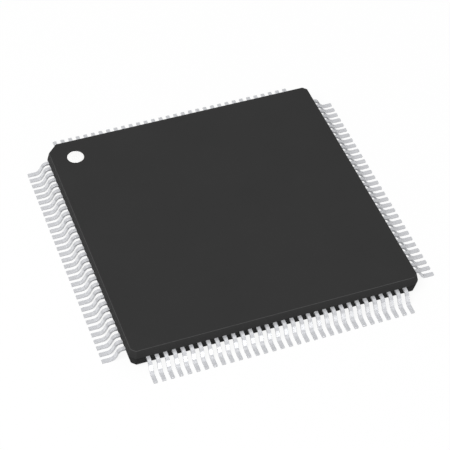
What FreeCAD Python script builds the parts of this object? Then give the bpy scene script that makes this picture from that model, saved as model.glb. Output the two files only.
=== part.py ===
import FreeCAD, Part
import os
import Sketcher
from FreeCAD import Placement, Rotation, Vector

# A thin quad flat pack of 128 gull-wing leads. The origin is the middle of the seating plane,
# under the soles of the feet. +X runs along the front row and +Z out of the marked face.
# Pin 1 is the rear lead of the left row, and the count runs anticlockwise seen from above.

os.makedirs("parts", exist_ok=True)
doc = FreeCAD.newDocument("quad_flat_pack")

# Driving dimensions, in millimetres and degrees
SIZES = [
    ("leads_per_side", 32, "leads in one row"),
    ("lead_pitch", 0.4, "from one lead to the next along a row"),
    ("lead_width", 0.18, "width of a lead outside the body"),
    ("lead_thickness", 0.1, "gauge of the lead frame strip"),
    ("lead_reach", 1.1, "from the body's side to the toe of a foot"),
    ("shoulder_flat", 0.14, "level run of a lead before its first bend"),
    ("shoulder_radius", 0.15, "inside radius of the first bend"),
    ("heel_radius", 0.24, "inside radius of the second bend"),
    ("shank_angle", 60, "slope of a lead between its bends"),
    ("tip_pitch", 0.21, "from one bonding tip to the next"),
    ("tip_width", 0.11, "width of a bonding tip"),
    ("tip_corner_margin", 0.545, "from the last tip's centre to the corner of the ring of tips"),
    ("tip_clearance", 0.3, "from the ring of tips in to the die pad"),
    ("row_end_margin", 0.8, "from the last lead's centre to the body's side"),
    ("body_thickness", 0.95, "underside to top of the moulded body"),
    ("standoff", 0.1, "seating plane to the body's underside"),
    ("draft_angle", 13, "slope of the walls off the vertical"),
    ("corner_chamfer", 0.25, "leg of the three small corner chamfers"),
    ("pin_1_chamfer", 0.55, "leg of the chamfer at pin 1"),
    ("dot_inset", 1.26, "pin 1 dot's centre in from the body's sides"),
    ("dot_diameter", 0.84, "pin 1 dot and its recess"),
    ("dot_recess_depth", 0.04, "recess under the dot"),
    ("dot_thickness", 0.03, "layer of white ink"),
    ("pad_downset", 0.13, "die pad below the leads"),
    ("tie_bar_width", 0.3, "bars that held the die pad in its frame"),
    ("tie_bar_slope_run", 0.3, "plan length of the step in a tie bar"),
    ("tie_bar_cover", 0.05, "compound over the end of a tie bar"),
    ("die_margin", 0.5, "die pad beyond the die on each side"),
    ("die_thickness", 0.28, "silicon die"),
    ("attach_thickness", 0.025, "die attach layer"),
    ("attach_spread", 0.1, "die attach beyond the die on each side"),
    ("wire_diameter", 0.025, "bond wire"),
    ("bond_pitch", 0.16, "from one bond on the die to the next"),
    ("bond_inset", 0.12, "bonds in from the die's edge"),
    ("loop_height", 0.1, "top of a wire's loop over the die"),
    ("loop_run", 0.2, "from a bond out to the top of its loop, in plan"),
    ("landing_inset", 0.15, "wire's landing in from the end of a lead's tip"),
]

sheet = doc.addObject("Spreadsheet::Sheet", "sizes")
for row, (alias, number, note) in enumerate(SIZES, start=1):
    sheet.set(f"A{row}", alias)
    sheet.set(f"B{row}", str(number))
    sheet.set(f"C{row}", note)
    sheet.setAlias(f"B{row}", alias)
doc.recompute()

# Lengths worked out from the driving dimensions
BODY_HALF = "((sizes.leads_per_side - 1) / 2 * sizes.lead_pitch + sizes.row_end_margin)"
FRAME_BOTTOM = "(sizes.standoff + (sizes.body_thickness - sizes.lead_thickness) / 2)"
BODY_MIDDLE = "(sizes.standoff + sizes.body_thickness / 2)"
TIP_RING_HALF = "((sizes.leads_per_side - 1) / 2 * sizes.tip_pitch + sizes.tip_corner_margin)"
PAD_HALF = f"({TIP_RING_HALF} - sizes.tip_clearance)"
DIE_HALF = f"({PAD_HALF} - sizes.die_margin)"
PAD_BOTTOM = f"({FRAME_BOTTOM} - sizes.pad_downset)"
PAD_TOP = f"({PAD_BOTTOM} + sizes.lead_thickness)"
DIE_BOTTOM = f"({PAD_TOP} + sizes.attach_thickness)"

# Each bend is drawn as this many equal turns, tangent to its radius
BEND_TURNS = 2
LEADS_PER_GROUP = 4
WIRES_PER_GROUP = 8


def value(expression):
    """The number that an expression on the sheet comes to."""
    return float(sheet.evalExpression(expression))


leads_per_side = int(value("sizes.leads_per_side"))


def origin_plane(body, role):
    """One of the body's own origin planes or axes, by its role."""
    return next(feature for feature in body.Origin.OriginFeatures if feature.Role == role)


def new_body(name):
    body = doc.addObject("PartDesign::Body", name)
    body.Label = name
    body.AllowCompound = True
    return body


def new_sketch(body, name, role, offset):
    """A sketch parallel to an origin plane of the body, at an offset along the plane's normal."""
    sketch = body.newObject("Sketcher::SketchObject", name)
    sketch.AttachmentSupport = (origin_plane(body, role), [""])
    sketch.MapMode = "FlatFace"
    sketch.setExpression("AttachmentOffset.Base.z", offset)
    return sketch


def bind_to_origin(sketch, geometry, point, corner):
    """Hold one point of the sketch at a pair of expressions, measured from its origin."""
    for kind, expression in zip(("DistanceX", "DistanceY"), corner):
        rule = Sketcher.Constraint(kind, -1, 1, geometry, point, value(expression))
        index = sketch.addConstraint(rule)
        sketch.setExpression(f"Constraints[{index}]", expression)


def add_polygon(sketch, corners):
    """A closed outline whose corners are pairs of expressions on the sheet."""
    points = [Vector(value(x), value(y), 0) for x, y in corners]
    first = sketch.GeometryCount
    count = len(points)
    for index, point in enumerate(points):
        sketch.addGeometry(Part.LineSegment(point, points[(index + 1) % count]), False)
    for index, corner in enumerate(corners):
        following = first + (index + 1) % count
        sketch.addConstraint(Sketcher.Constraint("Coincident", first + index, 2, following, 1))
        bind_to_origin(sketch, first + index, 1, corner)


def add_circle(sketch, centre, diameter):
    """A circle whose centre and diameter are expressions on the sheet."""
    middle = Vector(value(centre[0]), value(centre[1]), 0)
    radius = value(diameter) / 2
    index = sketch.addGeometry(Part.Circle(middle, Vector(0, 0, 1), radius), False)
    bind_to_origin(sketch, index, 3, centre)
    rule = sketch.addConstraint(Sketcher.Constraint("Diameter", index, 2 * radius))
    sketch.setExpression(f"Constraints[{rule}]", diameter)


def pad(body, name, sketch, length, side="One side"):
    feature = body.newObject("PartDesign::Pad", name)
    feature.Profile = sketch
    feature.SideType = side
    feature.setExpression("Length", length)
    return feature


# Lead frame strip, formed outside the body and fanned in to the die inside it

def lead_side_outline():
    """Corners of a formed lead seen from its side, in the plane of its length and height.

    Each bend's outline touches its radius from outside: the radius over the cosine of half a
    turn, at odd multiples of half a turn, gives a corner. Both faces share the bend's centre,
    so the strip keeps its gauge all the way.
    """
    both_radii = "(sizes.shoulder_radius + sizes.heel_radius + sizes.lead_thickness)"
    drop_in_bends = f"{both_radii} * (1 - cos(sizes.shank_angle))"
    shoulder_x = f"({BODY_HALF} + sizes.shoulder_flat)"
    shoulder_z = f"({FRAME_BOTTOM} - sizes.shoulder_radius)"
    shank_run = f"({FRAME_BOTTOM} - {drop_in_bends}) / tan(sizes.shank_angle)"
    heel_x = f"({shoulder_x} + {both_radii} * sin(sizes.shank_angle) + {shank_run})"
    heel_z = "(sizes.lead_thickness + sizes.heel_radius)"

    def bend(centre_x, centre_z, radius, sign):
        """The corners of one face of a bend, from its level end to the shank."""
        half_turn = f"(sizes.shank_angle / {2 * BEND_TURNS})"
        reach = f"{sign} * {radius} / cos({half_turn})"
        angles = [f"({2 * step + 1} * {half_turn})" for step in range(BEND_TURNS)]
        return [(f"{centre_x} + {reach} * sin({angle})", f"{centre_z} + {reach} * cos({angle})")
                for angle in angles]

    def face(shoulder_radius, heel_radius):
        """The corners of one face of the strip, from the body to the foot."""
        shoulder = bend(shoulder_x, shoulder_z, shoulder_radius, 1)
        heel = bend(heel_x, heel_z, heel_radius, -1)
        return shoulder + heel[::-1]

    toe = f"{BODY_HALF} + sizes.lead_reach"
    start = [(BODY_HALF, FRAME_BOTTOM), (BODY_HALF, f"{FRAME_BOTTOM} + sizes.lead_thickness")]
    end = [(toe, "sizes.lead_thickness"), (toe, "0 * sizes.lead_thickness")]
    upper = face("(sizes.shoulder_radius + sizes.lead_thickness)", "sizes.heel_radius")
    lower = face("sizes.shoulder_radius", "(sizes.heel_radius + sizes.lead_thickness)")
    return start + upper + end + lower[::-1]


def lead_group(side, first, count):
    """Some neighbouring leads of one row, each a solid of its own.

    The row is drawn as the one on the +X side and turned to its place. Outside the body a lead
    is a strip of constant width, and inside it tapers straight to its bonding tip.
    """
    pin = side * leads_per_side + first + 1
    body = new_body(f"leads_{pin:03d}_{pin + count - 1:03d}")
    middle = "(sizes.leads_per_side - 1) / 2"
    first_y = f"({first} - {middle}) * sizes.lead_pitch"
    profile = new_sketch(body, "side_profile", "XZ_Plane", f"-1 * {first_y}")
    add_polygon(profile, lead_side_outline())
    formed = pad(body, "formed_lead", profile, "sizes.lead_width", "Symmetric")
    if count > 1:
        row = body.newObject("PartDesign::LinearPattern", "row_of_leads")
        row.Originals = [formed]
        row.Direction = (origin_plane(body, "Y_Axis"), [""])
        row.setExpression("Length", f"{count - 1} * sizes.lead_pitch")
        row.Occurrences = count
        body.Tip = row
        doc.recompute()
    fan = new_sketch(body, "fan_plan", "XY_Plane", FRAME_BOTTOM)
    for place in range(first, first + count):
        wall_y = f"({place} - {middle}) * sizes.lead_pitch"
        tip_y = f"({place} - {middle}) * sizes.tip_pitch"
        add_polygon(fan, [
            (BODY_HALF, f"{wall_y} - sizes.lead_width / 2"),
            (BODY_HALF, f"{wall_y} + sizes.lead_width / 2"),
            (TIP_RING_HALF, f"{tip_y} + sizes.tip_width / 2"),
            (TIP_RING_HALF, f"{tip_y} - sizes.tip_width / 2"),
        ])
    body.Tip = pad(body, "inner_leads", fan, "sizes.lead_thickness")
    body.Placement = Placement(Vector(0, 0, 0), Rotation(Vector(0, 0, 1), 180 + 90 * side))
    return body


lead_groups = []
for side in range(4):
    for first in range(0, leads_per_side, LEADS_PER_GROUP):
        count = min(LEADS_PER_GROUP, leads_per_side - first)
        lead_groups.append(lead_group(side, first, count))


# Die pad: a square paddle with a stepped tie bar at each corner

CORNERS = [(45, "corner_chamfer"), (135, "pin_1_chamfer"),
           (225, "corner_chamfer"), (315, "corner_chamfer")]


def die_pad():
    """The paddle, and its tie bars that step up to the leads' level and run to the corners.

    A thin cover of compound is left over the end of each bar.
    """
    body = new_body("die_pad")
    plate = new_sketch(body, "pad_plan", "XY_Plane", PAD_BOTTOM)
    add_polygon(plate, [(f"{x} * {PAD_HALF}", f"{y} * {PAD_HALF}")
                        for x, y in ((-1, -1), (1, -1), (1, 1), (-1, 1))])
    body.Tip = pad(body, "paddle", plate, "sizes.lead_thickness")
    root = f"(sqrt(2) * {PAD_HALF} - sizes.tie_bar_width / 2)"
    step = f"(sqrt(2) * {PAD_HALF})"
    risen = f"({step} + sizes.tie_bar_slope_run)"
    for angle, chamfer in CORNERS:
        end = f"(sqrt(2) * ({BODY_HALF} - sizes.{chamfer} / 2) - sizes.tie_bar_cover)"
        under = [(root, PAD_BOTTOM), (step, PAD_BOTTOM), (risen, FRAME_BOTTOM), (end, FRAME_BOTTOM)]
        over = [(x, f"{z} + sizes.lead_thickness") for x, z in under]
        bar = new_sketch(body, f"tie_bar_profile_{angle}", "XZ_Plane", "0 * sizes.lead_width")
        bar.AttachmentOffset = Placement(Vector(0, 0, 0), Rotation(Vector(0, 1, 0), angle))
        add_polygon(bar, under + over[::-1])
        body.Tip = pad(body, f"tie_bar_{angle}", bar, "sizes.tie_bar_width", "Symmetric")
    return body


# Die and its attach layer, flat plates stacked on the pad

def square_plate(name, half, bottom, thickness):
    plate = doc.addObject("Part::Box", name)
    plate.Label = name
    plate.setExpression("Length", f"2 * {half}")
    plate.setExpression("Width", f"2 * {half}")
    plate.setExpression("Height", thickness)
    plate.setExpression("Placement.Base.x", f"-1 * {half}")
    plate.setExpression("Placement.Base.y", f"-1 * {half}")
    plate.setExpression("Placement.Base.z", bottom)
    return plate


# Bond wires: gold, each a low loop from the die's edge out and down to the tip of its lead

def carry(section, direction, level):
    """A section's corners carried along a direction to a level plane."""
    return [corner + direction * ((level - corner.z) / direction.z) for corner in section]


def solid_through(sections):
    """A closed solid whose flat sides join the corners of one section to those of the next."""
    outlines = [sections[0], sections[-1][::-1]]
    for near, far in zip(sections, sections[1:]):
        for index, corner in enumerate(near):
            following = (index + 1) % len(near)
            outlines.append([corner, far[index], far[following], near[following]])
    faces = [Part.Face(Part.makePolygon(outline + outline[:1])) for outline in outlines]
    return Part.makeSolid(Part.makeShell(faces))


def bond_wire(place):
    """One wire of the +X side: up from its bond, over the die's edge and down to the lead.

    Its section has three corners on the wire's circle, square to the wire's plan direction.
    """
    offset = place - (leads_per_side - 1) / 2
    die_top = value(f"{DIE_BOTTOM} + sizes.die_thickness")
    lead_top = value(f"{FRAME_BOTTOM} + sizes.lead_thickness")
    bond_x = value(f"{DIE_HALF} - sizes.bond_inset")
    bond = Vector(bond_x, offset * value("sizes.bond_pitch"), die_top)
    along_lead = value(f"sizes.landing_inset / ({BODY_HALF} - {TIP_RING_HALF})")
    fan_pitch = value("sizes.tip_pitch") + along_lead * value("sizes.lead_pitch - sizes.tip_pitch")
    landing_x = value(f"{TIP_RING_HALF} + sizes.landing_inset")
    landing = Vector(landing_x, offset * fan_pitch, lead_top)
    plan = Vector(landing.x - bond.x, landing.y - bond.y, 0).normalize()
    top = bond + plan * value("sizes.loop_run") + Vector(0, 0, value("sizes.loop_height"))
    across = Vector(-plan.y, plan.x, 0) * value("sizes.wire_diameter / 2")
    section = [top + Rotation(plan, angle).multVec(across) for angle in (90, 210, 330)]
    return solid_through([
        carry(section, top - bond, die_top),
        section,
        carry(section, top - landing, lead_top),
    ])


def wire_group(side, first, count):
    """The wires of some neighbouring leads, each a solid of its own."""
    pin = side * leads_per_side + first + 1
    name = f"bond_wires_{pin:03d}_{pin + count - 1:03d}"
    group = doc.addObject("Part::Feature", name)
    group.Label = name
    group.Shape = Part.makeCompound([bond_wire(place) for place in range(first, first + count)])
    group.Placement = Placement(Vector(0, 0, 0), Rotation(Vector(0, 0, 1), 180 + 90 * side))
    return group


# Moulded body: both halves drafted away from a land as thick as the lead frame

def mould_block():
    """The outer form, before the pieces that the compound flows round are taken out of it."""
    body = new_body("mould_block")
    half_height = "(sizes.body_thickness - sizes.lead_thickness) / 2"
    cuts = [(-1, -1, "corner_chamfer"), (1, -1, "corner_chamfer"),
            (1, 1, "corner_chamfer"), (-1, 1, "pin_1_chamfer")]
    plan = []
    for x, y, chamfer in cuts:
        along_x = (f"{x} * ({BODY_HALF} - sizes.{chamfer})", f"{y} * {BODY_HALF}")
        along_y = (f"{x} * {BODY_HALF}", f"{y} * ({BODY_HALF} - sizes.{chamfer})")
        plan += [along_y, along_x] if x * y > 0 else [along_x, along_y]

    upper_plan = new_sketch(body, "upper_plan", "XY_Plane", "sizes.lead_thickness / 2")
    add_polygon(upper_plan, plan)
    upper = pad(body, "upper_half", upper_plan, half_height)
    doc.recompute()
    walls = []
    floor = []
    for index, face in enumerate(upper.Shape.Faces, start=1):
        up = face.normalAt(0, 0).z
        if abs(up) < 0.5:
            walls.append(f"Face{index}")
        elif up < 0:
            floor.append(f"Face{index}")
    draft = body.newObject("PartDesign::Draft", "wall_draft")
    draft.Base = (upper, walls)
    draft.NeutralPlane = (upper, floor)
    draft.setExpression("Angle", "sizes.draft_angle")
    body.Tip = draft
    doc.recompute()

    lower = body.newObject("PartDesign::Mirrored", "lower_half")
    lower.TransformMode = "Whole shape"
    lower.MirrorPlane = (origin_plane(body, "XY_Plane"), [""])
    body.Tip = lower
    doc.recompute()
    land_plan = new_sketch(body, "land_plan", "XY_Plane", "0 * sizes.lead_thickness")
    add_polygon(land_plan, plan)
    body.Tip = pad(body, "land", land_plan, "sizes.lead_thickness", "Symmetric")
    doc.recompute()

    surface = "sizes.body_thickness / 2"
    inset = f"({BODY_HALF} - sizes.dot_inset)"
    recess_plan = new_sketch(body, "dot_recess_plan", "XY_Plane", surface)
    add_circle(recess_plan, (f"-1 * {inset}", inset), "sizes.dot_diameter")
    recess = body.newObject("PartDesign::Pocket", "dot_recess")
    recess.Profile = recess_plan
    recess.setExpression("Length", "sizes.dot_recess_depth")
    body.Tip = recess
    body.setExpression("Placement.Base.z", BODY_MIDDLE)
    return body


def pin_1_dot():
    """The disc of white ink on the floor of the recess."""
    dot = doc.addObject("Part::Cylinder", "pin_1_dot")
    dot.Label = "pin_1_dot"
    dot.setExpression("Radius", "sizes.dot_diameter / 2")
    dot.setExpression("Height", "sizes.dot_thickness")
    dot.setExpression("Placement.Base.x", f"-1 * ({BODY_HALF} - sizes.dot_inset)")
    dot.setExpression("Placement.Base.y", f"{BODY_HALF} - sizes.dot_inset")
    top = "sizes.standoff + sizes.body_thickness"
    dot.setExpression("Placement.Base.z", f"{top} - sizes.dot_recess_depth")
    return dot


paddle = die_pad()
attach = square_plate("die_attach", f"({DIE_HALF} + sizes.attach_spread)", PAD_TOP,
                      "sizes.attach_thickness")
die = square_plate("die", DIE_HALF, DIE_BOTTOM, "sizes.die_thickness")
wire_groups = []
for side in range(4):
    for first in range(0, leads_per_side, WIRES_PER_GROUP):
        count = min(WIRES_PER_GROUP, leads_per_side - first)
        wire_groups.append(wire_group(side, first, count))
block = mould_block()
dot = pin_1_dot()
doc.recompute()

# The compound fills all of the block that the embedded pieces leave
embedded = doc.addObject("Part::MultiFuse", "embedded_pieces")
embedded.Shapes = lead_groups + [paddle, attach, die] + wire_groups
mould = doc.addObject("Part::Cut", "mould_body")
mould.Label = "mould_body"
mould.Base = block
mould.Tool = embedded
doc.recompute()

# Every object has to be sound before anything is written
for item in doc.Objects:
    if "Invalid" in item.State or "Error" in item.State:
        raise RuntimeError(f"{item.Name} failed: {item.State}")

nodes = [mould, dot, paddle, attach, die] + lead_groups + wire_groups
for node in nodes:
    if node.Shape.isNull() or not node.Shape.isValid():
        raise RuntimeError(f"{node.Label} has no sound shape")
for node in nodes:
    node.Shape.exportStep(f"parts/{node.Label}.step")
    print(node.Label, "solids", len(node.Shape.Solids), "volume", round(node.Shape.Volume, 5))
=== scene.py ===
import bpy
import numpy as np
from mathutils import Matrix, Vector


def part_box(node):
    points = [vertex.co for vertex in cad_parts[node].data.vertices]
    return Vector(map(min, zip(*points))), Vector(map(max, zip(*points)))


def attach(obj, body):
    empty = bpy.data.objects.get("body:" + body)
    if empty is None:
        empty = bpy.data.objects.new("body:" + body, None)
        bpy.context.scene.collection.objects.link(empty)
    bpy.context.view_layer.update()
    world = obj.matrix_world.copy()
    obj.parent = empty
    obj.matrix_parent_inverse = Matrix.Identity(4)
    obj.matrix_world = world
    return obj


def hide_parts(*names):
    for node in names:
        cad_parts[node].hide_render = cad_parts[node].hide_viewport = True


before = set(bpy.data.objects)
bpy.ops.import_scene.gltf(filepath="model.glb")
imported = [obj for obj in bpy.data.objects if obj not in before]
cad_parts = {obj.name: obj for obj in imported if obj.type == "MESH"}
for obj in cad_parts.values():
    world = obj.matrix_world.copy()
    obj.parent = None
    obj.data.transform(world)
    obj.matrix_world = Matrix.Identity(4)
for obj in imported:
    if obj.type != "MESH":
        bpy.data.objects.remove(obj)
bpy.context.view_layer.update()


# Leads: 128 strips of copper alloy, punched with the die pad from one sheet, plated with matt
# tin, then trimmed and pressed to gull wings. The compound grips the flat inner part of each.
# Each row is drawn on the +X side and turned to its place, left, front, right or back.

MM = 0.001
lead_low, lead_high = np.array(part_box("leads_065_068")) / MM
LEADS_PER_ROW = 32
LEAD_PITCH = 0.4
LEAD_WIDTH = 0.18
LEAD_GAUGE = 0.1
FRAME_LEVEL = lead_high[2] - LEAD_GAUGE / 2
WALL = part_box("mould_body")[1].x / MM
SHOULDER_FLAT = 0.14
SHOULDER_START = WALL + SHOULDER_FLAT
TOE = lead_high[0]
SHANK_SLOPE = np.radians(60)
SHOULDER_INNER_RADIUS = 0.15
SHOULDER_RADIUS = SHOULDER_INNER_RADIUS + LEAD_GAUGE / 2
HEEL_INNER_RADIUS = 0.24
HEEL_RADIUS = HEEL_INNER_RADIUS + LEAD_GAUGE / 2
BEND_STEPS = 3
TIP_RING = lead_low[0]
TIP_PITCH = 0.21
TIP_WIDTH = 0.11
PUNCHED_EDGE = 0.01
TOE_EDGE = 0.01
# Heights on the shank where the smoother rubbed band, which also carries a painted glint, starts
# and is full.
RUBBED_GLINT_START = FRAME_LEVEL - 0.1
FULL_RUBBED_GLINT = FRAME_LEVEL - 0.16
LEADS_PER_NODE = 4


def lead_path():
    """Stations along the middle of a lead, as rows of distance out, height and slope.

    Level from the tip to the shoulder, down round an arc, straight along the shank, back round
    a wider arc to level, and on to the toe. Each arc is measured from its level end. A point of
    it lies the radius times the sine of the slope along from there, and the radius times one
    less the cosine of the slope up or down.
    """
    slope = np.linspace(0, SHANK_SLOPE, BEND_STEPS + 1)
    foot_level = LEAD_GAUGE / 2
    radii = SHOULDER_RADIUS + HEEL_RADIUS
    drop = FRAME_LEVEL - foot_level - radii * (1 - np.cos(SHANK_SLOPE))
    heel_end = SHOULDER_START + radii * np.sin(SHANK_SLOPE) + drop / np.tan(SHANK_SLOPE)
    shoulder = np.stack([SHOULDER_START + SHOULDER_RADIUS * np.sin(slope),
                         FRAME_LEVEL - SHOULDER_RADIUS * (1 - np.cos(slope)), slope], 1)
    heel = np.stack([heel_end - HEEL_RADIUS * np.sin(slope),
                     foot_level + HEEL_RADIUS * (1 - np.cos(slope)), slope], 1)[::-1]
    start = [[TIP_RING, FRAME_LEVEL, 0], [WALL, FRAME_LEVEL, 0]]
    end = [[TOE - TOE_EDGE, foot_level, 0], [TOE, foot_level, 0]]
    return np.concatenate([start, shoulder, heel, end])


def row_of_leads():
    """Rings of every lead of a row, as an array of leads, stations, section points and x, y, z.

    The section is a rectangle with its two upper edges rolled in by the punch, and it shrinks
    at the very toe. It is carried along the path at right angles to the slope. The leads are
    one pitch apart, and their tips inside the body are narrower and closer.
    """
    distance, level, slope = lead_path().T
    width = np.full(len(slope), LEAD_WIDTH / 2)
    width[0] = TIP_WIDTH / 2
    height = np.full(len(slope), LEAD_GAUGE / 2)
    width[-1] -= TOE_EDGE
    height[-1] -= TOE_EDGE
    rolled_width = width - PUNCHED_EDGE
    rolled_height = height - PUNCHED_EDGE
    across = np.stack([width, width, rolled_width, -rolled_width, -width, -width], 1)
    up = np.stack([-height, rolled_height, height, height, rolled_height, -height], 1)
    pitch = np.full(len(slope), LEAD_PITCH)
    pitch[0] = TIP_PITCH
    place = np.arange(LEADS_PER_ROW) - (LEADS_PER_ROW - 1) / 2
    x = distance[:, None] + up * np.sin(slope)[:, None]
    y = across + (place[:, None] * pitch)[:, :, None]
    z = level[:, None] + up * np.cos(slope)[:, None]
    return np.stack(np.broadcast_arrays(x, y, z), -1)


def turned(points, quarters):
    """Points turned anticlockwise about the vertical by whole quarter turns."""
    cosine, sine = ((1, 0), (0, 1), (-1, 0), (0, -1))[quarters % 4]
    x, y, z = np.moveaxis(points, -1, 0)
    return np.stack([cosine * x - sine * y, sine * x + cosine * y, z], -1)


def add_skin(name, rings, sharp_degrees):
    """A piece of closed tubes from an array of tubes, rings, points and x, y, z in millimetres.

    Points p and p + 1 of one ring and of the next span a face, and the first and last rings are
    closed flat. Edges sharper than the angle stay crisp.
    """
    tubes, rows, points, _ = rings.shape
    index = np.arange(tubes * rows * points).reshape(tubes, rows, points)
    near, far = index[:, :-1], index[:, 1:]
    sides = np.stack([near, np.roll(near, -1, 2), np.roll(far, -1, 2), far], -1).reshape(-1, 4)
    ends = np.concatenate([index[:, 0, ::-1], index[:, -1]])
    mesh = bpy.data.meshes.new(name)
    mesh.from_pydata((rings.reshape(-1, 3) * MM).tolist(), [], sides.tolist() + ends.tolist())
    mesh.shade_smooth()
    mesh.set_sharp_from_angle(angle=np.radians(sharp_degrees))
    piece = bpy.data.objects.new(name, mesh)
    bpy.context.scene.collection.objects.link(piece)
    return piece


def linear(hex_colour):
    """An sRGB hex colour as linear red, green, blue and a full alpha."""
    encoded = np.array([int(hex_colour[start:start + 2], 16) for start in (1, 3, 5)]) / 255
    decoded = np.where(encoded <= 0.04045, encoded / 12.92, ((encoded + 0.055) / 1.055) ** 2.4)
    return (*decoded, 1.0)


def add_node(owner, kind, inputs=None, **settings):
    """Add a node with its settings, and give its inputs values or link them to sockets."""
    node = owner.node_tree.nodes.new(kind)
    for name, setting in settings.items():
        setattr(node, name, setting)
    for name, source in (inputs or {}).items():
        if isinstance(source, bpy.types.NodeSocket):
            owner.node_tree.links.new(source, node.inputs[name])
        else:
            node.inputs[name].default_value = source
    return node


def new_material(name):
    """An empty node material with its output node."""
    material = bpy.data.materials.new(name)
    material.use_nodes = True
    material.node_tree.nodes.clear()
    return material, add_node(material, "ShaderNodeOutputMaterial")


# Matt tin, electroplated: an even pale grey metal with a dull grain of crystals a few thousandths
# of a millimetre wide, drawn at 0.03 mm so that it shows. The crystals scatter light all ways,
# so it looks only half metallic. The press rubs them flat low on the sloping shank, which is
# shinier there, and that band is also painted paler as a painted glint. The plating is not quite
# one tone from lead to lead.
matt_tin, output = new_material("matt_tin_plating")
coordinates = add_node(matt_tin, "ShaderNodeTexCoord")
crystals = add_node(matt_tin, "ShaderNodeTexNoise", {
    "Vector": coordinates.outputs["Object"], "Scale": 1 / (0.03 * MM), "Detail": 2.0})
clouds = add_node(matt_tin, "ShaderNodeTexNoise", {
    "Vector": coordinates.outputs["Object"], "Scale": 1 / (0.5 * MM), "Detail": 1.0})
tone = add_node(matt_tin, "ShaderNodeMix", {
    0: clouds.outputs["Fac"], 6: linear("#C1C2C5"), 7: linear("#CBCCCF")}, data_type="RGBA")
facing = add_node(matt_tin, "ShaderNodeNewGeometry")
lean = add_node(matt_tin, "ShaderNodeSeparateXYZ", {"Vector": facing.outputs["Normal"]})
on_slope = add_node(matt_tin, "ShaderNodeMapRange", {
    "Value": lean.outputs["Z"], "From Min": 0.68, "From Max": 0.55})
place = add_node(matt_tin, "ShaderNodeSeparateXYZ", {"Vector": coordinates.outputs["Object"]})
low_down = add_node(matt_tin, "ShaderNodeMapRange", {
    "Value": place.outputs["Z"], "From Min": RUBBED_GLINT_START * MM,
    "From Max": FULL_RUBBED_GLINT * MM})
# Mask of the rubbed band: it sets the real, lower roughness and also a painted glint in the
# colour.
rubbing_and_painted_glint = add_node(matt_tin, "ShaderNodeMath", {
    0: on_slope.outputs["Result"], 1: low_down.outputs["Result"]}, operation="MULTIPLY")
# Painted glint: the band's colour is lifted to a pale #E1E2E5.
painted_highlight_tone = add_node(matt_tin, "ShaderNodeMix", {
    0: rubbing_and_painted_glint.outputs[0], 6: tone.outputs[2], 7: linear("#E1E2E5")}, data_type="RGBA")
dullness = add_node(matt_tin, "ShaderNodeMapRange", {
    "Value": rubbing_and_painted_glint.outputs[0], "To Min": 0.45, "To Max": 0.12})
roughness = add_node(matt_tin, "ShaderNodeMath", {
    0: crystals.outputs["Fac"], 1: 0.1, 2: dullness.outputs["Result"]}, operation="MULTIPLY_ADD")
grain = add_node(matt_tin, "ShaderNodeBump", {
    "Height": crystals.outputs["Fac"], "Strength": 0.15, "Distance": 0.002 * MM})
surface = add_node(matt_tin, "ShaderNodeBsdfPrincipled", {
    "Base Color": painted_highlight_tone.outputs[2], "Metallic": 0.5, "Roughness": roughness.outputs[0],
    "Normal": grain.outputs["Normal"]})
matt_tin.node_tree.links.new(surface.outputs["BSDF"], output.inputs["Surface"])

row = row_of_leads()
for side, side_name in enumerate(("left", "front", "right", "back")):
    leads = add_skin(f"leads_{side_name}", turned(row, side + 2), sharp_degrees=30)
    leads.data.materials.append(matt_tin)
    first = side * LEADS_PER_ROW + 1
    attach(leads, "root")
    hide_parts(*[f"leads_{pin:03d}_{pin + LEADS_PER_NODE - 1:03d}"
                         for pin in range(first, first + LEADS_PER_ROW, LEADS_PER_NODE)])


# Die pad and tie bars: the middle of the same punched copper alloy sheet, left unplated and
# pressed a little lower than the leads. It is all inside the compound.

# Rolled copper alloy: warm metal with fine lines along the rolling direction, 0.02 mm apart and
# drawn at 0.08 mm.
rolled_copper, output = new_material("rolled_copper_alloy")
coordinates = add_node(rolled_copper, "ShaderNodeTexCoord")
drawn_out = add_node(rolled_copper, "ShaderNodeMapping", {
    "Vector": coordinates.outputs["Object"], "Scale": (0.04, 1.0, 1.0)})
lines = add_node(rolled_copper, "ShaderNodeTexNoise", {
    "Vector": drawn_out.outputs["Vector"], "Scale": 1 / (0.08 * MM), "Detail": 3.0})
tone = add_node(rolled_copper, "ShaderNodeMix", {
    0: lines.outputs["Fac"], 6: linear("#D69A76"), 7: linear("#EDBE9C")}, data_type="RGBA")
roughness = add_node(rolled_copper, "ShaderNodeMapRange", {
    "Value": lines.outputs["Fac"], "To Min": 0.22, "To Max": 0.42})
grooves = add_node(rolled_copper, "ShaderNodeBump", {
    "Height": lines.outputs["Fac"], "Strength": 0.3, "Distance": 0.001 * MM})
surface = add_node(rolled_copper, "ShaderNodeBsdfPrincipled", {
    "Base Color": tone.outputs[2], "Metallic": 1.0, "Roughness": roughness.outputs["Result"],
    "Normal": grooves.outputs["Normal"]})
rolled_copper.node_tree.links.new(surface.outputs["BSDF"], output.inputs["Surface"])
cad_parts["die_pad"].material_slots[0].material = rolled_copper


# Die attach: a dispensed layer of epoxy full of silver flakes, cured between the die and its pad
# and squeezed out a little all round.

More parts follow.
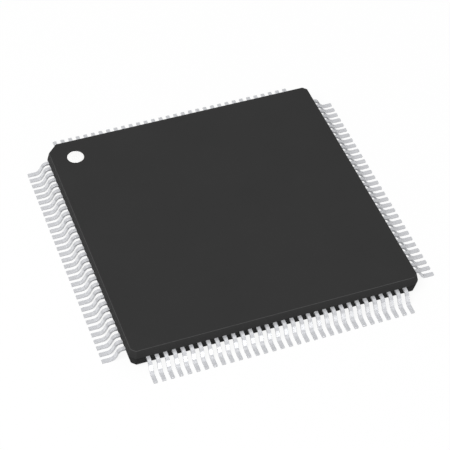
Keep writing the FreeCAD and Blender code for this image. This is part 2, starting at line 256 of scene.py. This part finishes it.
# Silver-filled epoxy: grey paste with flakes about 0.01 mm across, drawn at 0.04 mm, that glint
# where they lie flat.
silver_epoxy, output = new_material("silver_filled_epoxy")
coordinates = add_node(silver_epoxy, "ShaderNodeTexCoord")
flakes = add_node(silver_epoxy, "ShaderNodeTexVoronoi", {
    "Vector": coordinates.outputs["Object"], "Scale": 1 / (0.04 * MM)})
shade = add_node(silver_epoxy, "ShaderNodeSeparateColor", {"Color": flakes.outputs["Color"]})
tone = add_node(silver_epoxy, "ShaderNodeMix", {
    0: shade.outputs["Red"], 6: linear("#8C8C8B"), 7: linear("#C4C4C2")}, data_type="RGBA")
roughness = add_node(silver_epoxy, "ShaderNodeMapRange", {
    "Value": shade.outputs["Green"], "To Min": 0.3, "To Max": 0.6})
surface = add_node(silver_epoxy, "ShaderNodeBsdfPrincipled", {
    "Base Color": tone.outputs[2], "Metallic": 0.6, "Roughness": roughness.outputs["Result"]})
silver_epoxy.node_tree.links.new(surface.outputs["BSDF"], output.inputs["Surface"])
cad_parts["die_attach"].material_slots[0].material = silver_epoxy


# Die: a square of silicon, sawn from a ground and polished wafer with its circuits on top, and
# stuck down on the pad.

# Passivated silicon: a glassy grey-violet face over blocks of circuitry 0.3 mm wide, between
# which the wiring shows as paler streets.
silicon, output = new_material("passivated_silicon")
coordinates = add_node(silicon, "ShaderNodeTexCoord")
blocks = add_node(silicon, "ShaderNodeTexVoronoi", {
    "Vector": coordinates.outputs["Object"], "Scale": 1 / (0.3 * MM), "Randomness": 0.7},
    distance="CHEBYCHEV")
shade = add_node(silicon, "ShaderNodeSeparateColor", {"Color": blocks.outputs["Color"]})
tone = add_node(silicon, "ShaderNodeMix", {
    0: shade.outputs["Red"], 6: linear("#5B5563"), 7: linear("#8A8794")}, data_type="RGBA")
streets = add_node(silicon, "ShaderNodeMapRange", {
    "Value": blocks.outputs["Distance"], "From Min": 0.35, "From Max": 0.45,
    "To Min": 0.0, "To Max": 0.6})
wired = add_node(silicon, "ShaderNodeMix", {
    0: streets.outputs["Result"], 6: tone.outputs[2], 7: linear("#B9B5AE")}, data_type="RGBA")
roughness = add_node(silicon, "ShaderNodeMapRange", {
    "Value": shade.outputs["Green"], "To Min": 0.08, "To Max": 0.2})
surface = add_node(silicon, "ShaderNodeBsdfPrincipled", {
    "Base Color": wired.outputs[2], "Metallic": 0.85, "Roughness": roughness.outputs["Result"]})
silicon.node_tree.links.new(surface.outputs["BSDF"], output.inputs["Surface"])
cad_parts["die"].material_slots[0].material = silicon


# Bond wires: 128 loops of fine gold wire, each welded by heat and ultrasound to the die at one end
# and to the tip of its lead at the other.

LEAD_ROWS = 4
WIRES_PER_NODE = 8

# Drawn gold: a bright warm metal with faint marks of the die, a thousandth of a millimetre wide
# and drawn at 0.01 mm.
drawn_gold, output = new_material("drawn_gold_wire")
coordinates = add_node(drawn_gold, "ShaderNodeTexCoord")
marks = add_node(drawn_gold, "ShaderNodeTexNoise", {
    "Vector": coordinates.outputs["Object"], "Scale": 1 / (0.01 * MM), "Detail": 1.0})
tone = add_node(drawn_gold, "ShaderNodeMix", {
    0: marks.outputs["Fac"], 6: linear("#F4C876"), 7: linear("#FFDF9B")}, data_type="RGBA")
roughness = add_node(drawn_gold, "ShaderNodeMapRange", {
    "Value": marks.outputs["Fac"], "To Min": 0.12, "To Max": 0.28})
surface = add_node(drawn_gold, "ShaderNodeBsdfPrincipled", {
    "Base Color": tone.outputs[2], "Metallic": 1.0, "Roughness": roughness.outputs["Result"]})
drawn_gold.node_tree.links.new(surface.outputs["BSDF"], output.inputs["Surface"])
for pin in range(1, LEAD_ROWS * LEADS_PER_ROW, WIRES_PER_NODE):
    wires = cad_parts[f"bond_wires_{pin:03d}_{pin + WIRES_PER_NODE - 1:03d}"]
    wires.material_slots[0].material = drawn_gold


# Moulded body: epoxy compound pressed round the lead frame between two heated mould halves. Its
# walls lean in from a land at the level of the leads, so that the halves draw off it. A large
# corner chamfer and a round recess in the top mark pin 1.

body_low, body_high = np.array(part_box("mould_body")) / MM
dot_low, dot_high = np.array(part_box("pin_1_dot")) / MM
BODY_BOTTOM = body_low[2]
BODY_TOP = body_high[2]
BODY_WALLS = 8
DRAFT = np.radians(13)
SMALL_CHAMFER = 0.25
PIN_1_CHAMFER = 0.55
CORNER_ROUNDING = 0.06
EDGE_ROUNDING = 0.03
CORNER_STEPS = 5
EDGE_STEPS = 8
WALL_STEP = 0.2
DOT_CENTRE = (dot_low + dot_high)[:2] / 2
DOT_RADIUS = (dot_high - dot_low)[0] / 2
RECESS_FLOOR = dot_low[2]
RECESS_EDGE = 0.006


def body_outline():
    """Points round the land anticlockwise, and how far each moves as the walls move in.

    Eight walls, every second one a chamfer, stand 45 degrees apart. A chamfer's line is as far
    from the middle as twice the half width, less the chamfer, over the root of two. A corner is
    where two lines cross. Moved in by d, they cross at the corner less d times its mitre. A
    rounded corner is the crossing of the lines moved in by its radius, plus the radius times
    every direction in between.
    """
    chamfers = [SMALL_CHAMFER, PIN_1_CHAMFER, SMALL_CHAMFER, SMALL_CHAMFER]
    reach = np.full(BODY_WALLS, WALL)
    reach[1::2] = (2 * WALL - np.array(chamfers)) / np.sqrt(2)
    corner_turn = np.radians(45)
    bearing = corner_turn * np.arange(BODY_WALLS)
    direction = np.stack([np.cos(bearing), np.sin(bearing)], 1)
    pairs = np.stack([direction, np.roll(direction, -1, 0)], 1)
    corner = np.linalg.solve(pairs, np.stack([reach, np.roll(reach, -1)], 1)[:, :, None])[:, :, 0]
    mitre = np.linalg.solve(pairs, np.ones((BODY_WALLS, 2, 1)))[:, :, 0]
    sweep = bearing[:, None] + corner_turn * np.linspace(0, 1, CORNER_STEPS + 1)
    arc = np.stack([np.cos(sweep), np.sin(sweep)], -1)
    rounded = (corner - CORNER_ROUNDING * mitre)[:, None] + CORNER_ROUNDING * arc
    runs = []
    for wall in range(BODY_WALLS):
        nearer = np.hstack([rounded[wall], np.tile(mitre[wall], (CORNER_STEPS + 1, 1))])
        following = (wall + 1) % BODY_WALLS
        target = np.hstack([rounded[following, 0], mitre[following]])
        length = np.hypot(*(target - nearer[-1])[:2])
        share = np.linspace(0, 1, int(np.ceil(length / WALL_STEP)), endpoint=False)[1:, None]
        runs += [nearer, nearer[-1] + share * (target - nearer[-1])]
    points = np.concatenate(runs)
    return points[:, :2], points[:, 2:]


def body_section():
    """Rows of inset and height, from the underside's edge over the walls to the top face.

    The land is upright and as high as the lead is thick. Away from it the inset is the distance
    from it times the tangent of the draft. The upper edge is an arc between the lean of the
    wall and level. The lower half mirrors the upper one.
    """
    land_top = FRAME_LEVEL + LEAD_GAUGE / 2
    centre = BODY_TOP - EDGE_ROUNDING
    centre_inset = (centre - land_top) * np.tan(DRAFT) + EDGE_ROUNDING / np.cos(DRAFT)
    lean = np.linspace(DRAFT, np.pi / 2, EDGE_STEPS + 1)
    edge = np.stack([centre_inset - EDGE_ROUNDING * np.cos(lean),
                     centre + EDGE_ROUNDING * np.sin(lean)], 1)
    upper = np.concatenate([[[0, land_top]], edge])
    lower = upper[::-1] * [1, -1] + [0, BODY_BOTTOM + BODY_TOP]
    return np.concatenate([lower, upper])


outline, mitre = body_outline()
inset, level = body_section().T
rings = outline - inset[:, None, None] * mitre
walls = np.concatenate([rings, np.broadcast_to(level[:, None, None], (*rings.shape[:2], 1))], -1)

# The top face runs on from the upper edge, every point straight towards the dot, to the recess.
outward = walls[-1, :, :2] - DOT_CENTRE
outward /= np.linalg.norm(outward, axis=1)[:, None]
recess = [np.column_stack([DOT_CENTRE + radius * outward, np.full(len(outward), height)])
          for radius, height in ((DOT_RADIUS + RECESS_EDGE, BODY_TOP),
                                 (DOT_RADIUS, BODY_TOP - RECESS_EDGE),
                                 (DOT_RADIUS, RECESS_FLOOR))]
body = add_skin("moulded_body", np.concatenate([walls, recess])[None], sharp_degrees=11)

# Moulding compound: black epoxy with about four fifths of fine silica, moulded against steel
# that was spark eroded. It is a dead matt charcoal with grains of 0.02 mm, drawn at 0.06 mm, and
# a faint cloudiness where the filler is not quite evenly spread. Its upper edge, where the
# surface slants between wall and top, carries a painted highlight, and the upper wall, faintly,
# a painted lighter shade.
compound, output = new_material("black_moulding_compound")
coordinates = add_node(compound, "ShaderNodeTexCoord")
filler = add_node(compound, "ShaderNodeTexNoise", {
    "Vector": coordinates.outputs["Object"], "Scale": 1 / (0.06 * MM), "Detail": 3.0,
    "Roughness": 0.6})
clouds = add_node(compound, "ShaderNodeTexNoise", {
    "Vector": coordinates.outputs["Object"], "Scale": 1 / (2.5 * MM), "Detail": 2.0})
mottle = add_node(compound, "ShaderNodeMath", {
    0: filler.outputs["Fac"], 1: clouds.outputs["Fac"]}, operation="MULTIPLY")
tone = add_node(compound, "ShaderNodeMix", {
    0: mottle.outputs[0], 6: linear("#333333"), 7: linear("#393939")}, data_type="RGBA")
facing = add_node(compound, "ShaderNodeNewGeometry")
lean = add_node(compound, "ShaderNodeSeparateXYZ", {"Vector": facing.outputs["Normal"]})
past_slant = add_node(compound, "ShaderNodeMath", {
    0: lean.outputs["Z"], 1: 0.57}, operation="SUBTRACT")
off_slant = add_node(compound, "ShaderNodeMath", {0: past_slant.outputs[0]}, operation="ABSOLUTE")
# Painted highlight mask: full where the normal slants like the upper edge, fading over the upper
# wall.
painted_edge_highlight = add_node(compound, "ShaderNodeMapRange", {
    "Value": off_slant.outputs[0], "From Min": 0.43, "From Max": 0.0},
    interpolation_type="SMOOTHSTEP")
# Painted highlight: the edge and, faintly, the upper wall are lifted towards a paler #5E5E5E.
painted_highlight_tone = add_node(compound, "ShaderNodeMix", {
    0: painted_edge_highlight.outputs["Result"], 6: tone.outputs[2], 7: linear("#5E5E5E")}, data_type="RGBA")
roughness = add_node(compound, "ShaderNodeMapRange", {
    "Value": filler.outputs["Fac"], "To Min": 0.52, "To Max": 0.66})
eroded = add_node(compound, "ShaderNodeBump", {
    "Height": filler.outputs["Fac"], "Strength": 0.5, "Distance": 0.006 * MM})
surface = add_node(compound, "ShaderNodeBsdfPrincipled", {
    "Base Color": painted_highlight_tone.outputs[2], "Roughness": roughness.outputs["Result"], "IOR": 1.5,
    "Specular IOR Level": 0.03, "Normal": eroded.outputs["Normal"]})
compound.node_tree.links.new(surface.outputs["BSDF"], output.inputs["Surface"])
body.data.materials.append(compound)
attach(body, "root")
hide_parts("mould_body")


# Pin 1 dot: white marking ink, stamped into the recess in one coat that fills it nearly to the
# brim and thins a little towards the wall.

INK_TOP = dot_high[2]
INK_CROWN = 0.01
DOT_POINTS = 48


def ink_disc():
    """Rings of the coat of ink: a flat bottom, an upright side and a slightly crowned top.

    The crown falls from the middle with the fourth power of the distance over the radius, and
    its edge is bevelled as the recess is.
    """
    share = np.array([1.0, 1.0, 0.98, 0.92, 0.8, 0.6, 0.4, 0.2, 0.04])
    height = INK_TOP - INK_CROWN * share ** 4
    height[0] = RECESS_FLOOR
    height[1] = INK_TOP - INK_CROWN - RECESS_EDGE
    bearing = np.linspace(0, 2 * np.pi, DOT_POINTS, endpoint=False)
    x = DOT_CENTRE[0] + DOT_RADIUS * share[:, None] * np.cos(bearing)
    y = DOT_CENTRE[1] + DOT_RADIUS * share[:, None] * np.sin(bearing)
    return np.stack(np.broadcast_arrays(x, y, height[:, None]), -1)[None]


dot = add_skin("pin_1_dot_ink", ink_disc(), sharp_degrees=30)

# White marking ink: opaque, satin, with a faint orange peel 0.05 mm across from the stamp.
white_ink, output = new_material("white_marking_ink")
coordinates = add_node(white_ink, "ShaderNodeTexCoord")
peel = add_node(white_ink, "ShaderNodeTexNoise", {
    "Vector": coordinates.outputs["Object"], "Scale": 1 / (0.05 * MM), "Detail": 2.0})
tone = add_node(white_ink, "ShaderNodeMix", {
    0: peel.outputs["Fac"], 6: linear("#FBFBFA"), 7: linear("#FFFFFE")}, data_type="RGBA")
roughness = add_node(white_ink, "ShaderNodeMapRange", {
    "Value": peel.outputs["Fac"], "To Min": 0.4, "To Max": 0.55})
ripple = add_node(white_ink, "ShaderNodeBump", {
    "Height": peel.outputs["Fac"], "Strength": 0.2, "Distance": 0.002 * MM})
surface = add_node(white_ink, "ShaderNodeBsdfPrincipled", {
    "Base Color": tone.outputs[2], "Roughness": roughness.outputs["Result"], "IOR": 1.48,
    "Normal": ripple.outputs["Normal"]})
white_ink.node_tree.links.new(surface.outputs["BSDF"], output.inputs["Surface"])
dot.data.materials.append(white_ink)
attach(dot, "root")
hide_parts("pin_1_dot")


# Floor: a wide sheet of pale card under the feet. Seen by the camera and in the metal it is as
# white as the surround, and it keeps a light shadow of the chip. It throws only a little light
# back up, so that the body's lower walls stay dark.

FLOOR_HALF = 0.6
WHITENING = 0.9


def seen_by_camera(owner):
    """A socket that is 1 where the camera sees a ray's end, straight or in metal or glass.

    It is 0 for the rays that gather the light falling on a matt surface.
    """
    rays = add_node(owner, "ShaderNodeLightPath")
    straight = add_node(owner, "ShaderNodeMath", {
        0: rays.outputs["Is Camera Ray"], 1: rays.outputs["Is Glossy Ray"]}, operation="MAXIMUM")
    seen = add_node(owner, "ShaderNodeMath", {
        0: straight.outputs[0], 1: rays.outputs["Is Transmission Ray"]}, operation="MAXIMUM")
    unscattered = add_node(owner, "ShaderNodeMath", {
        0: rays.outputs["Diffuse Depth"], 1: 0.5}, operation="LESS_THAN")
    return add_node(owner, "ShaderNodeMath", {
        0: seen.outputs[0], 1: unscattered.outputs[0]}, operation="MULTIPLY").outputs[0]


floor_mesh = bpy.data.meshes.new("floor")
floor_mesh.from_pydata([(x * FLOOR_HALF, y * FLOOR_HALF, 0)
                        for x, y in ((-1, -1), (1, -1), (1, 1), (-1, 1))], [], [(0, 1, 2, 3)])
floor = bpy.data.objects.new("floor", floor_mesh)
bpy.context.scene.collection.objects.link(floor)
white_card, output = new_material("white_card")
seen = seen_by_camera(white_card)
glowing = add_node(white_card, "ShaderNodeMath", {0: seen, 1: WHITENING}, operation="MULTIPLY")
tone = add_node(white_card, "ShaderNodeMix", {
    0: seen, 6: linear("#5A5A5A"), 7: linear("#FFFFFF")}, data_type="RGBA")
card = add_node(white_card, "ShaderNodeBsdfDiffuse", {"Color": tone.outputs[2]})
glow = add_node(white_card, "ShaderNodeEmission", {"Color": linear("#FFFFFF"), "Strength": 1.0})
mixed = add_node(white_card, "ShaderNodeMixShader", {
    0: glowing.outputs[0], 1: card.outputs["BSDF"], 2: glow.outputs["Emission"]})
white_card.node_tree.links.new(mixed.outputs["Shader"], output.inputs["Surface"])
floor_mesh.materials.append(white_card)


# Studio: an even pale surround, which reads as pure white behind the chip and in its metal, and
# two softboxes. The key one, high at the left, lights the chip. The small front one, down near
# the floor, glints on the rubbed shanks of the front leads.

surround = bpy.data.worlds.new("pale_surround")
surround.use_nodes = True
surround.node_tree.nodes.clear()
strength = add_node(surround, "ShaderNodeMapRange", {
    "Value": seen_by_camera(surround), "To Min": 0.35, "To Max": 1.0})
sky = add_node(surround, "ShaderNodeBackground", {
    "Color": linear("#FFFFFF"), "Strength": strength.outputs["Result"]})
add_node(surround, "ShaderNodeOutputWorld", {"Surface": sky.outputs["Background"]})
bpy.context.scene.world = surround


def add_softbox(name, watts, size, place):
    """A square area light at a place, in metres, turned to face the origin."""
    light = bpy.data.lights.new(name, "AREA")
    light.energy = watts
    light.size = size
    softbox = bpy.data.objects.new(name, light)
    place = np.array(place)
    away = place / np.linalg.norm(place)
    sideways = np.cross([0, 0, 1], away)
    sideways /= np.linalg.norm(sideways)
    turn = Matrix(np.stack([sideways, np.cross(away, sideways), away], 1).tolist())
    softbox.matrix_world = Matrix.Translation(place.tolist()) @ turn.to_4x4()
    bpy.context.scene.collection.objects.link(softbox)


add_softbox("key_softbox", watts=1.0, size=0.25, place=(-0.147, -0.091, 0.3045))
add_softbox("front_softbox", watts=0.07, size=0.09, place=(0.035, -0.3, 0.06))


# Camera: a long lens in front of the chip, a little to its left and halfway up, with the slight
# roll of the photograph, whose frame was cut a little to one side of the lens's axis.

AZIMUTH = np.radians(20.578)
ELEVATION = np.radians(46.409)
ROLL = np.radians(1.224)
DISTANCE = 78.004
SIDE_STEP = -0.7296
RISE = -0.0386
IMAGE_PIXELS = 450
FOCAL_PIXELS = 1622.43
SHIFT_PIXELS = 15

forward = np.array([np.sin(AZIMUTH) * np.cos(ELEVATION), np.cos(AZIMUTH) * np.cos(ELEVATION),
                    -np.sin(ELEVATION)])
level_right = np.array([np.cos(AZIMUTH), -np.sin(AZIMUTH), 0])
level_up = np.cross(level_right, forward)
right = np.cos(ROLL) * level_right + np.sin(ROLL) * level_up
up = np.cos(ROLL) * level_up - np.sin(ROLL) * level_right
station = (SIDE_STEP * right + RISE * up - DISTANCE * forward) * MM
lens = bpy.data.cameras.new("long_lens")
lens.sensor_width = 36
lens.lens = lens.sensor_width * FOCAL_PIXELS / IMAGE_PIXELS
lens.shift_x = SHIFT_PIXELS / IMAGE_PIXELS
lens.clip_start = 0.001
camera = bpy.data.objects.new("camera", lens)
turn = Matrix(np.stack([right, up, -forward], 1).tolist())
camera.matrix_world = Matrix.Translation(station.tolist()) @ turn.to_4x4()
bpy.context.scene.collection.objects.link(camera)
bpy.context.scene.camera = camera
bpy.context.scene.view_settings.view_transform = "Standard"
